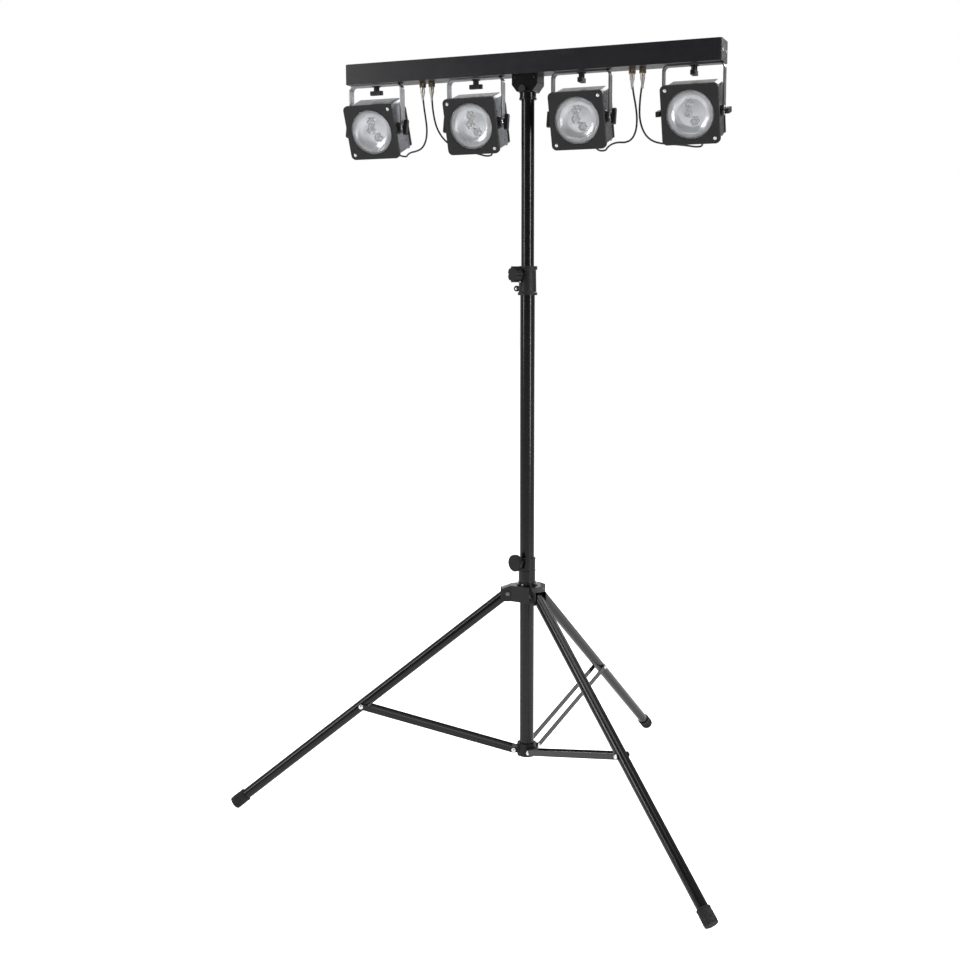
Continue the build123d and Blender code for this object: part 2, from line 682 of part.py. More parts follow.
# ---- head cables: out of the connector, a loose U, and up into the gland from behind ----
cable_points = {
    1: [(-309, 8, 1985), (-305, 11, 1952), (-302, 15, 1919), (-309, 24, 1889), (-328, 39, 1870),
        (-357, 61, 1865), (-386, 87, 1866), (-411, 116, 1862), (-424, 142, 1860)],
    2: [(-283, 8, 1985), (-280, 11, 1952), (-274, 17, 1920), (-260, 32, 1890), (-237, 57, 1869),
        (-211, 87, 1862), (-188, 115, 1856), (-173, 140, 1851)],
    3: [(287, 8, 1985), (294, 11, 1949), (297, 15, 1915), (292, 23, 1886), (277, 37, 1867),
        (255, 52, 1862), (232, 71, 1866), (207, 97, 1866), (187, 119, 1860), (173, 143, 1852)],
    4: [(308, 8, 1985), (304, 11, 1951), (303, 15, 1918), (309, 26, 1888), (321, 41, 1868),
        (340, 61, 1858), (369, 88, 1857), (403, 118, 1855), (425, 142, 1852)],
}
last_run = 44.0             # the straight stretch out of the gland


def fitted_radii(points):
    """Each corner's arc: 0.45 of its shorter run, divided by the tangent of half its turn."""
    radii = []
    for before, here, after in zip(points, points[1:], points[2:]):
        run_in, run_out = here - before, after - here
        half_turn = math.radians(run_in.get_angle(run_out) / 2)
        radii.append(0.45 * min(run_in.length, run_out.length) / math.tan(half_turn))
    return radii


for number, (x, tilt) in enumerate(zip(head_x, head_tilt), 1):
    gland = gland_plane(x, tilt)
    mouth = gland.origin + gland.z_dir * (gland_len + gap)
    behind = mouth + gland.z_dir * last_run
    start = Vector(connector_x[number - 1], connector_y, connector_z)
    points = [start] + [Vector(*p) for p in cable_points[number]] + [behind, mouth]
    radii = fitted_radii(points)
    with BuildPart() as cable:
        with BuildLine() as route:
            FilletPolyline(*points, radius=radii)
        with BuildSketch(Plane(origin=route.line @ 0, z_dir=route.line % 0)):
            Circle(cable_r)
        sweep(path=route.line)
    save(cable.part, f"head_{number}_cable")
    filled = cable.part.volume / (math.pi * cable_r ** 2 * route.wire().length)
    print(f"cable {number}: length {route.wire().length:.1f}, volume ratio {filled:.4f}, radii",
          [round(r, 1) for r in radii])

print(f"leg run {leg_run:.2f}, brace length {brace_len:.2f}, pin at {pin_r:.2f}, {pin_z:.2f}")
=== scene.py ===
import math

import bmesh
import bpy
from mathutils import Matrix, Vector


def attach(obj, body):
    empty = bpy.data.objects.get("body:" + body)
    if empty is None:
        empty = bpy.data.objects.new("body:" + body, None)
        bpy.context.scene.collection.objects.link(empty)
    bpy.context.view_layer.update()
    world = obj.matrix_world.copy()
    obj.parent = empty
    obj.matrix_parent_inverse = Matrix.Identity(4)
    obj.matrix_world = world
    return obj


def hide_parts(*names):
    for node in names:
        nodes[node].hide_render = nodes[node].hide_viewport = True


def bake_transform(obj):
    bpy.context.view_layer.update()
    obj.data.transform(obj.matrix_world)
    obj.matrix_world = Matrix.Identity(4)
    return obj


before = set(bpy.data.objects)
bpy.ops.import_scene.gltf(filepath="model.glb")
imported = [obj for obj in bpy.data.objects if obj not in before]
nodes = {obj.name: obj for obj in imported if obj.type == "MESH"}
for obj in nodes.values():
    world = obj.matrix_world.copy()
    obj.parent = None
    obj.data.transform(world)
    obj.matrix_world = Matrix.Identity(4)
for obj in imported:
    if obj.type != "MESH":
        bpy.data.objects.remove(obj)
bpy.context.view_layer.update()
MM = 0.001
UP = Vector((0, 0, 1))

# ---------------------------------------------------------------- dimensions, in millimetres
HEAD_X = (-448.5, -149.5, 149.5, 448.5)
HEAD_TILT = (21.0, 17.5, 17.0, 16.5)
HEAD_Z = 1925.0
LEG_AZIMUTHS = (200.8, 320.8, 80.8)
PIVOT_R, PIVOT_Z = 54.5, 636.0
FOOT_R, FOOT_Z = 842.0, 12.4
BRACE_REACH = 531.0
COLLAR_R, COLLAR_Z = 37.4, 181.0
CONNECTOR_X = (-311.0, -284.0, 284.0, 312.0)
CONNECTOR_Y = 8.0
BOX_HALF_W, BOX_HALF_H, BOX_BACK, BOX_SLOPE = 66.0, 72.0, 72.0, 29.0
CABLE_R = 2.5


# ---------------------------------------------------------------- materials
class Nodes:
    """A node tree with short calls for adding and linking nodes."""

    def __init__(self, name):
        self.material = bpy.data.materials.new(name)
        self.material.use_nodes = True
        self.tree = self.material.node_tree
        self.shader = self.tree.nodes["Principled BSDF"]
        self.coords = self.add("ShaderNodeTexCoord").outputs["Object"]

    def add(self, kind, **values):
        node = self.tree.nodes.new(kind)
        for key, value in values.items():
            if hasattr(node, key):
                setattr(node, key, value)
            else:
                node.inputs[key.replace("_", " ")].default_value = value
        return node

    def link(self, a, b):
        self.tree.links.new(a, b)

    def stretched(self, scale):
        mapping = self.add("ShaderNodeMapping")
        mapping.inputs["Scale"].default_value = scale
        self.link(self.coords, mapping.inputs["Vector"])
        return mapping.outputs["Vector"]

    def noise(self, scale, detail=3.0, stretch=(1, 1, 1)):
        node = self.add("ShaderNodeTexNoise", Scale=scale, Detail=detail)
        self.link(self.stretched(stretch), node.inputs["Vector"])
        return node.outputs["Fac"]

    def span(self, value, low, high, start=0.35, end=0.65):
        node = self.add("ShaderNodeMapRange")
        limits = {"From Min": start, "From Max": end, "To Min": low, "To Max": high}
        for key, number in limits.items():
            node.inputs[key].default_value = number
        self.link(value, node.inputs["Value"])
        return node.outputs["Result"]

    def mix(self, factor, a, b):
        node = self.add("ShaderNodeMix", data_type="RGBA")
        self.link(factor, node.inputs["Factor"])
        for socket, value in ((node.inputs[6], a), (node.inputs[7], b)):
            if hasattr(value, "default_value"):
                self.link(value, socket)
            else:
                socket.default_value = (*value, 1)
        return node.outputs[2]

    def product(self, a, b):
        node = self.add("ShaderNodeMath", operation="MULTIPLY")
        self.link(a, node.inputs[0])
        self.link(b, node.inputs[1])
        return node.outputs["Value"]

    def edges(self, radius):
        """1 along convex and concave edges, 0 on flat faces."""
        bevel = self.add("ShaderNodeBevel", samples=3, Radius=radius)
        normal = self.add("ShaderNodeNewGeometry").outputs["Normal"]
        dot = self.add("ShaderNodeVectorMath", operation="DOT_PRODUCT")
        self.link(bevel.outputs["Normal"], dot.inputs[0])
        self.link(normal, dot.inputs[1])
        return self.span(dot.outputs["Value"], 1.0, 0.0, 0.80, 0.995)


EDGE_WIDTH = 0.0012          # how far edge wear and painted edge shade reach from an edge, in metres
RELIEF_DEPTH = 0.0003
DUST_COLOUR = (0.33, 0.32, 0.30)


def finish(name, base, alt, rough, metallic=0.0, patch=9.0, grain=700.0, bump=0.03, coat=0.0,
           stretch=(1, 1, 1), edge_wear_and_shade=None, specular=0.5, dust=0.0):
    """A finish with broad colour variation, uneven gloss, fine relief, dust and worn edges.

    patch and grain are the scales of the broad and the fine variation. The edge colour is that of
    rubbed edges on most finishes, and a dark painted edge shade on the yoke finishes.
    """
    n = Nodes(name)
    colour = n.mix(n.span(n.noise(patch, 5.0), 0, 1, 0.3, 0.7), base, alt)
    fine = n.noise(grain, 2.0, stretch)
    roughness = n.span(n.noise(patch * 4.3, 6.0, stretch), rough[0], rough[1], 0.3, 0.7)
    if dust:
        colour = n.mix(n.span(n.noise(240.0, 7.0), 0, dust, 0.5, 0.8), colour, DUST_COLOUR)
    # Patchy colour along edges and creases: rubbed wear on most finishes; on the yoke finishes it is
    # darker, a painted edge shade.
    if edge_wear_and_shade:
        rub_and_edge_shade = n.product(n.edges(EDGE_WIDTH), n.span(n.noise(140.0, 5.0), 0, 1, 0.45, 0.62))
        colour = n.mix(rub_and_edge_shade, colour, edge_wear_and_shade)
    n.link(colour, n.shader.inputs["Base Color"])
    n.link(roughness, n.shader.inputs["Roughness"])
    height = n.add("ShaderNodeBump", Strength=bump * 10, Distance=RELIEF_DEPTH)
    n.link(fine, height.inputs["Height"])
    n.link(height.outputs["Normal"], n.shader.inputs["Normal"])
    n.shader.inputs["Metallic"].default_value = metallic
    n.shader.inputs["IOR"].default_value = 1.5
    n.shader.inputs["Specular IOR Level"].default_value = specular
    n.shader.inputs["Coat Weight"].default_value = coat
    n.shader.inputs["Coat Roughness"].default_value = 0.12
    return n.material


def glass(name, tint, rough):
    """A clear solid with a faint haze and ripple."""
    n = Nodes(name)
    haze = n.span(n.noise(55.0, 5.0), rough * 0.7, rough * 1.6, 0.3, 0.7)
    colour = n.mix(n.noise(14.0, 4.0), tint, tuple(c * 0.97 for c in tint))
    n.link(colour, n.shader.inputs["Base Color"])
    n.link(haze, n.shader.inputs["Roughness"])
    height = n.add("ShaderNodeBump", Strength=0.06, Distance=0.0002)
    n.link(n.noise(420.0, 3.0), height.inputs["Height"])
    n.link(height.outputs["Normal"], n.shader.inputs["Normal"])
    n.shader.inputs["IOR"].default_value = 1.47
    n.shader.inputs["Transmission Weight"].default_value = 1.0
    return n.material


BLACK, DARK = (0.0030, 0.0030, 0.0035), (0.0055, 0.0053, 0.0060)
mast_black = finish("mast_black_enamel", BLACK, DARK, (0.17, 0.25), coat=0.08, grain=900,
                    bump=0.012, edge_wear_and_shade=(0.035, 0.035, 0.037), specular=0.28)
bar_black = finish("bar_black_powder_coat", (0.0065, 0.0061, 0.0078), (0.0095, 0.0089, 0.0110),
                   (0.30, 0.38), coat=0.12, grain=1400, bump=0.03, edge_wear_and_shade=(0.05, 0.05, 0.055),
                   specular=0.28)
black_plastic = finish("black_moulded_plastic", (0.0055, 0.0055, 0.0060), (0.0100, 0.0098, 0.0102),
                       (0.40, 0.55), grain=2300, bump=0.05, edge_wear_and_shade=(0.02, 0.02, 0.021), specular=0.28)
knob_plastic = finish("knob_black_plastic", (0.0035, 0.0035, 0.0040), (0.0075, 0.0070, 0.0075),
                      (0.36, 0.5), grain=2000, bump=0.05, edge_wear_and_shade=(0.02, 0.02, 0.021), specular=0.25)
rubber = finish("foot_black_rubber", (0.0080, 0.0080, 0.0080), (0.0160, 0.0155, 0.0150), (0.6, 0.8),
                grain=1500, bump=0.08, dust=0.10, specular=0.25)
zinc = finish("bright_zinc_plate", (0.80, 0.80, 0.81), (0.66, 0.67, 0.69), (0.22, 0.36),
              metallic=1.0, patch=60, grain=1200, bump=0.03, edge_wear_and_shade=(0.88, 0.88, 0.89))
bolt_steel = finish("bolt_dull_steel", (0.22, 0.22, 0.225), (0.13, 0.13, 0.135), (0.28, 0.42),
                    metallic=1.0, patch=60, grain=1200, bump=0.03)
# The yoke is one satin steel in two copies: a lighter painted lit copy for heads 1 and 2, and a
# darker painted shade copy for heads 3 and 4.
yoke_painted_lit = finish("yoke_satin_painted_lit", (0.32, 0.325, 0.34), (0.24, 0.245, 0.26), (0.30, 0.42),
                   metallic=0.85, patch=14, grain=900, bump=0.03, stretch=(1, 1, 0.15),
                   edge_wear_and_shade=(0.04, 0.04, 0.045))
yoke_painted_shade = finish("yoke_satin_painted_shade", (0.15, 0.153, 0.16), (0.10, 0.102, 0.108), (0.30, 0.42),
                   metallic=0.8, patch=14, grain=900, bump=0.03, stretch=(1, 1, 0.15),
                   edge_wear_and_shade=(0.03, 0.03, 0.034))
# The housing is one satin finish in three copies painted lighter and darker: a painted lit copy, a
# painted half-shade copy and a painted deep-shade copy, given to the heads by how light falls on
# them.
housing_painted_lit = finish("housing_satin_painted_lit", (0.31, 0.315, 0.34), (0.20, 0.205, 0.225),
                       (0.26, 0.38), metallic=0.85, patch=18, grain=1100, bump=0.03,
                       edge_wear_and_shade=(0.16, 0.16, 0.17))
housing_painted_half_shade = finish("housing_satin_painted_half_shade", (0.105, 0.110, 0.122), (0.060, 0.063, 0.072),
                     (0.24, 0.36), metallic=0.6, patch=18, grain=1100, bump=0.03,
                     edge_wear_and_shade=(0.10, 0.10, 0.11))
housing_painted_shade = finish("housing_satin_painted_shade", (0.026, 0.028, 0.034), (0.015, 0.0165, 0.021),
                      (0.24, 0.36), metallic=0.35, patch=18, grain=1100, bump=0.03,
                      edge_wear_and_shade=(0.07, 0.07, 0.08), specular=0.4)
bezel_black = finish("bezel_black_powder_coat", (0.0080, 0.0080, 0.0088), (0.0125, 0.0125, 0.0135),
                     (0.36, 0.48), grain=1500, bump=0.04, edge_wear_and_shade=(0.045, 0.045, 0.048), specular=0.28)
lens_clear = glass("lens_frosted_glass", (0.97, 0.975, 0.985), 0.055)
lens_clear.node_tree.nodes["Principled BSDF"].inputs["Transmission Weight"].default_value = 0.93
dome_clear = glass("optic_clear_acrylic", (0.97, 0.975, 0.98), 0.03)
mirror = finish("reflector_bright_aluminium", (0.72, 0.725, 0.74), (0.60, 0.605, 0.62),
                (0.30, 0.44), metallic=1.0, patch=40, grain=700, bump=0.015)
nickel = finish("nickel_plate", (0.44, 0.425, 0.39), (0.33, 0.32, 0.29), (0.26, 0.38), metallic=1.0,
                patch=80, grain=1500, bump=0.03)
brass = finish("dull_gilt_brass", (0.17, 0.125, 0.085), (0.09, 0.068, 0.048), (0.28, 0.42),
               metallic=1.0, patch=90, grain=1500, bump=0.03)
board_green = finish("circuit_board_green", (0.012, 0.075, 0.030), (0.010, 0.050, 0.022),
                     (0.28, 0.42), grain=500, bump=0.08, patch=120)
cable_rubber = finish("cable_black_rubber", (0.006, 0.006, 0.0065), (0.012, 0.012, 0.012),
                      (0.40, 0.55), grain=1800, bump=0.05, patch=60, specular=0.3)
phosphor = finish("emitter_phosphor", (0.86, 0.84, 0.74), (0.80, 0.77, 0.64), (0.35, 0.5),
                  grain=3000, bump=0.05, patch=300)
ceramic = finish("emitter_white_board", (0.84, 0.845, 0.85), (0.74, 0.745, 0.75), (0.3, 0.45),
                 grain=2500, bump=0.03, patch=60)
window = finish("display_dark_window", (0.012, 0.004, 0.004), (0.020, 0.006, 0.006), (0.05, 0.10),
                coat=0.8, grain=300, bump=0.005, patch=60)


def dress(node, material):
    """Gives every face of a CAD node one material."""
    data = nodes[node].data
    if not data.materials:
        data.materials.append(material)
    for index in range(len(data.materials)):
        data.materials[index] = material


CAD_LOOKS = {
    "hub_spider": mast_black, "hub_sleeve": mast_black, "leg_pivot_bolts": bolt_steel,
    "hub_knob": knob_plastic, "lower_tube": mast_black, "foot_collar": black_plastic,
    "mast_clamp": black_plastic, "mast_clamp_knob": knob_plastic,
    "upper_tube": mast_black, "bar_shell": bar_black,
    "bar_rear_panel": bar_black, "bar_end_caps": black_plastic, "pole_socket": mast_black,
    "socket_screw": knob_plastic, "cable_connectors": nickel, "power_supply": zinc,
    "control_board": board_green, "mains_sockets": black_plastic, "signal_sockets": nickel,
}
# Heads 1 and 2 take the painted lit housing copy, head 3 the painted half-shade copy and head 4 the
# painted deep-shade copy.
HOUSING_LIT_AND_SHADED_COPIES = (housing_painted_lit, housing_painted_lit, housing_painted_half_shade, housing_painted_shade)
# Heads 1 and 2 take the painted lit yoke copy, and heads 3 and 4 take the painted shade copy.
for i in range(1, 5):
    CAD_LOOKS.update({
        f"menu_button_{i}": knob_plastic, f"head_{i}_top_knob": knob_plastic,
        f"head_{i}_tilt_knobs": knob_plastic, f"head_{i}_yoke": yoke_painted_lit if i < 3 else yoke_painted_shade,
        f"head_{i}_bezel": bezel_black, f"head_{i}_lens": lens_clear,
        f"head_{i}_housing": HOUSING_LIT_AND_SHADED_COPIES[i - 1], f"head_{i}_cable": cable_rubber,
    })
for i in range(1, 4):
    CAD_LOOKS.update({f"leg_{i}": mast_black, f"foot_{i}": rubber, f"brace_{i}": mast_black})
for node in nodes:
    dress(node, CAD_LOOKS[node])


# ---------------------------------------------------------------- mesh helpers
def frame_at(origin, z, x):
    """A matrix in metres whose z axis is z, with its x axis near the x given."""
    z = Vector(z).normalized()
    y = z.cross(Vector(x)).normalized()
    x = y.cross(z).normalized()
    m = Matrix((x, y, z)).transposed().to_4x4()
    m.translation = Vector(origin) * MM
    return m


def make(name, bm, materials, body, place=None, smooth=True, sharp=35):
    """A mesh piece from bm, whose points are in millimetres in the frame of place."""
    bmesh.ops.remove_doubles(bm, verts=bm.verts, dist=1e-4)
    bmesh.ops.recalc_face_normals(bm, faces=bm.faces)
    bmesh.ops.scale(bm, vec=(MM, MM, MM), verts=bm.verts)
    if place is not None:
        bm.transform(place)
    mesh = bpy.data.meshes.new(name)
    bm.to_mesh(mesh)
    bm.free()
    for material in materials if isinstance(materials, (list, tuple)) else [materials]:
        mesh.materials.append(material)
    if smooth:
        mesh.polygons.foreach_set("use_smooth", [True] * len(mesh.polygons))
        mesh.set_sharp_from_angle(angle=math.radians(sharp))
    piece = bpy.data.objects.new(name, mesh)
    bpy.context.scene.collection.objects.link(piece)
    if body:
        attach(piece, body)
    return piece


def spin(bm, profile, steps=48, matrix=None, material=0, closed=True, wobble=None):
    """Turns a profile of (radius, height) about z. wobble(angle, row) scales the radius."""
    rings = []
    for k in range(steps):
        a = 2 * math.pi * k / steps
        ring = []
        for row, (r, z) in enumerate(profile):
            rr = r * (wobble(a, row) if wobble else 1)
            p = Vector((rr * math.cos(a), rr * math.sin(a), z))
            ring.append(bm.verts.new(matrix @ p if matrix else p))
        rings.append(ring)
    count = len(profile)
    for k in range(steps):
        a, b = rings[k], rings[(k + 1) % steps]
        for row in range(count if closed else count - 1):
            nxt = (row + 1) % count
            face = bm.faces.new((a[row], b[row], b[nxt], a[nxt]))
            face.material_index = material


def block(bm, low, high, bevel, matrix=None, material=0):
    """A box from low to high with rounded edges."""
    verts = bmesh.ops.create_cube(bm, size=1)["verts"]
    low, high = Vector(low), Vector(high)
    for v in verts:
        v.co = Vector([low[k] + (v.co[k] + 0.5) * (high[k] - low[k]) for k in range(3)])
    faces = {f for v in verts for f in v.link_faces}
    edges = list({e for f in faces for e in f.edges})
    out = bmesh.ops.bevel(bm, geom=edges, offset=bevel, segments=2, profile=0.5, affect="EDGES")
    verts = list({v for f in out["faces"] for v in f.verts} | {v for v in verts if v.is_valid})
    faces = {f for v in verts for f in v.link_faces}
    for f in faces:
        f.material_index = material
    if matrix:
        bmesh.ops.transform(bm, matrix=matrix, verts=verts)


def local(origin, z, x):
    """As frame_at, in millimetres, for parts of one mesh."""
    m = frame_at(origin, z, x)
    m.translation = Vector(origin)
    return m


def oval(r, z, half_r, half_z, count=10):
    """The oval section of a bead round the axis, as a profile for spin."""
    angles = [2 * math.pi * k / count for k in range(count)]
    return [(r + half_r * math.cos(a), z + half_z * math.sin(a)) for a in angles]


# ---------------------------------------------------------------- camera
LENS = 49.84
CAMERA_PLACE = (1.24865, -3.43559, 1.47366)
CAMERA_DOWN, CAMERA_ROLL, CAMERA_TURN = 0.141, 0.003, 0.384       # radians

camera_data = bpy.data.cameras.new("camera")
camera_data.sensor_width = 36.0
camera_data.lens = LENS
camera_data.clip_end = 200.0
camera = bpy.data.objects.new("camera", camera_data)
bpy.context.scene.collection.objects.link(camera)
camera.location = CAMERA_PLACE
camera.rotation_euler = (math.pi / 2 - CAMERA_DOWN, CAMERA_ROLL, CAMERA_TURN)
bpy.context.scene.camera = camera


# ---------------------------------------------------------------- cables
def head_axes(i):
    """The head's pivot, the way it faces, and its own up."""
    t = math.radians(HEAD_TILT[i])
    facing = Vector((0, -math.cos(t), -math.sin(t)))
    upward = Vector((0, -math.sin(t), math.cos(t)))
    return Vector((HEAD_X[i], 0, HEAD_Z)), facing, upward


CABLE_POINTS = (
    ((-309, 8, 1985), (-305, 11, 1952), (-302, 15, 1919), (-309, 24, 1889), (-328, 39, 1870),
     (-357, 61, 1865), (-386, 87, 1866), (-411, 116, 1862), (-424, 142, 1860)),
    ((-283, 8, 1985), (-280, 11, 1952), (-274, 17, 1920), (-260, 32, 1890), (-237, 57, 1869),
     (-211, 87, 1862), (-188, 115, 1856), (-173, 140, 1851)),
    ((287, 8, 1985), (294, 11, 1949), (297, 15, 1915), (292, 23, 1886), (277, 37, 1867),
     (255, 52, 1862), (232, 71, 1866), (207, 97, 1866), (187, 119, 1860), (173, 143, 1852)),
    ((308, 8, 1985), (304, 11, 1951), (303, 15, 1918), (309, 26, 1888), (321, 41, 1868),
     (340, 61, 1858), (369, 88, 1857), (403, 118, 1855), (425, 142, 1852)),
)
CONNECTOR_LOW_Z = 2010.0     # where the cable leaves its connector
LAST_RUN = 44.0              # the straight stretch out of the gland
GLAND_INSET = 4.0            # the gland's seat, in from the housing's lower rear edge
GLAND_REACH = 10.3           # from that seat to the gland's mouth
LEAD_SHARE = 0.56            # share of the cable that is the lead; the rest is the tail


def route_line(points):
    """The smooth line of a route: one open NURBS spline, read as its points in metres."""
    data = bpy.data.curves.new("route", "CURVE")
    data.dimensions = "3D"
    spline = data.splines.new("NURBS")
    spline.points.add(len(points) - 1)
    for place, p in zip(spline.points, points):
        place.co = (p[0] * MM, p[1] * MM, p[2] * MM, 1)
    spline.order_u = 3
    spline.use_endpoint_u = True
    spline.resolution_u = 10
    holder = bpy.data.objects.new("route", data)
    mesh = bpy.data.meshes.new_from_object(holder)
    line = [v.co.copy() for v in mesh.vertices]
    bpy.data.meshes.remove(mesh)
    bpy.data.objects.remove(holder)
    bpy.data.curves.remove(data)
    return line


def tube_along(bm, line, radius, sides=14):
    """A round tube whose rings are centred on line, with closed ends."""
    ahead = (line[1] - line[0]).normalized()
    side = ahead.cross(UP if abs(ahead.z) < 0.9 else Vector((1, 0, 0))).normalized()
    rings = []
    for k, p in enumerate(line):
        run = (line[min(k + 1, len(line) - 1)] - line[max(k - 1, 0)]).normalized()
        side = (side - run * side.dot(run)).normalized()
        other = run.cross(side)
        rings.append([bm.verts.new(p + (side * math.cos(2 * math.pi * j / sides)
                                        + other * math.sin(2 * math.pi * j / sides)) * radius)
                      for j in range(sides)])
    for a, b in zip(rings, rings[1:]):
        for j in range(sides):
            bm.faces.new((a[j], a[(j + 1) % sides], b[(j + 1) % sides], b[j]))
    bm.faces.new(rings[0][::-1])
    bm.faces.new(rings[-1])


def cable_piece(name, line):
    """A length of cable, which rides on no body."""
    bm = bmesh.new()
    tube_along(bm, [p / MM for p in line], CABLE_R)
    return make(name, bm, cable_rubber, None, sharp=60)


def line_length(line):
    return sum((b - a).length for a, b in zip(line, line[1:]))


for i in range(4):
    n = i + 1
    pivot, facing, upward = head_axes(i)
    out = -(facing + upward) / math.sqrt(2)
    gland = pivot - facing * (BOX_BACK - GLAND_INSET) - upward * (BOX_HALF_H - GLAND_INSET)
    mouth = gland + out * GLAND_REACH
    points = [(CONNECTOR_X[i], CONNECTOR_Y, CONNECTOR_LOW_Z), *CABLE_POINTS[i],
              tuple(mouth + out * LAST_RUN), tuple(mouth)]
    line = route_line(points)
    lead_length = line_length(line) * LEAD_SHARE
    half = next(k for k in range(len(line)) if line_length(line[:k + 1]) > lead_length)
    lead = cable_piece(f"head_{n}_cable_lead", line[:half + 1])
    tail = cable_piece(f"head_{n}_cable_tail", line[half:])
    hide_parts(f"head_{n}_cable")
    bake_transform(lead)
    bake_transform(tail)

    # tapered, ringed nickel sleeve where the cable leaves the connector
    bm = bmesh.new()
    boot = [(2.6, 0), (4.8, 0), (4.9, -1.5)]
    for step in range(6):
        z = -2.5 - step * 2.6
        boot += [(4.5 - step * 0.28, z), (3.9 - step * 0.2, z - 1.1), (3.9 - step * 0.2, z - 1.7)]
    boot += [(2.9, -18.6), (2.6, -18.6)]
    spin(bm, boot, 24)
    make(f"head_{n}_connector_boot", bm, nickel, "crossbar",
         frame_at((CONNECTOR_X[i], CONNECTOR_Y, CONNECTOR_LOW_Z + 0.5), (0, 0, 1), (1, 0, 0)))

    # six-lobed nut where it enters the gland
    bm = bmesh.new()
    nut = [(2.6, 0.4), (6.9, 0.4), (7.2, 1.2), (7.2, 5.2), (6.6, 6.2), (4.4, 8.8), (3.6, 15.5),
           (3.1, 17), (2.6, 17)]
    spin(bm, nut, 36, wobble=lambda a, row: 1 + (0.035 * math.cos(6 * a) if 1 <= row <= 4 else 0))
    make(f"head_{n}_gland_nut", bm, black_plastic, f"head_{n}",
         frame_at(gland + out * 6.0, out, (1, 0, 0)))


# ---------------------------------------------------------------- heads
def head_matrix(i):
    """Local x to the right, y up the head, z the way it faces."""
    pivot, facing, upward = head_axes(i)
    m = Matrix((facing.cross(upward) * -1, upward, facing)).transposed().to_4x4()
    m.translation = pivot * MM
    return m


EMITTERS = ((-8, 22), (-11, 0), (6, -20))
EMITTER_Z = 17.8
SCREW_CORNERS = 2 * (((1, 1), (-1, -1)), ((-1, 1), (1, -1)))
SCREW_OFFSET = 61.5          # the front plate's screws, from its middle
EDGING = 1.8                 # how far the rear edging stands proud of the housing
TILT_WASHER_X = 80.2         # just outside the yoke's arms, from the head's middle
TOP_WASHER_Z = 2039.4        # just under the yoke's bridge


def pan_screw(bm, at, radius, height, z=(0, 0, 1)):
    """A domed screw head with a cross recess: a stack of rings with four slots pressed in."""
    m = local(at, z, (1, 0, 0) if abs(Vector(z).x) < 0.9 else (0, 1, 0))
    rings = [(radius, 0), (radius, height * 0.35), (radius * 0.92, height * 0.65),
             (radius * 0.72, height * 0.88), (radius * 0.42, height * 0.98), (radius * 0.16, height)]
    steps, grid = 32, []
    for k in range(steps):
        a = 2 * math.pi * k / steps
        slot = k % 8 in (0, 1, 7)
        row = []
        for j, (r, h) in enumerate(rings):
            drop = height * 0.55 if slot and j >= 3 else 0
            row.append(bm.verts.new(m @ Vector((r * math.cos(a), r * math.sin(a), h - drop))))
        grid.append(row)
    centre = bm.verts.new(m @ Vector((0, 0, height * 0.35)))
    for k in range(steps):
        a, b = grid[k], grid[(k + 1) % steps]
        for j in range(len(rings) - 1):
            bm.faces.new((a[j], b[j], b[j + 1], a[j + 1]))
        bm.faces.new((a[-1], b[-1], centre))
    base = [row[0] for row in grid]
    bm.faces.new(base[::-1])


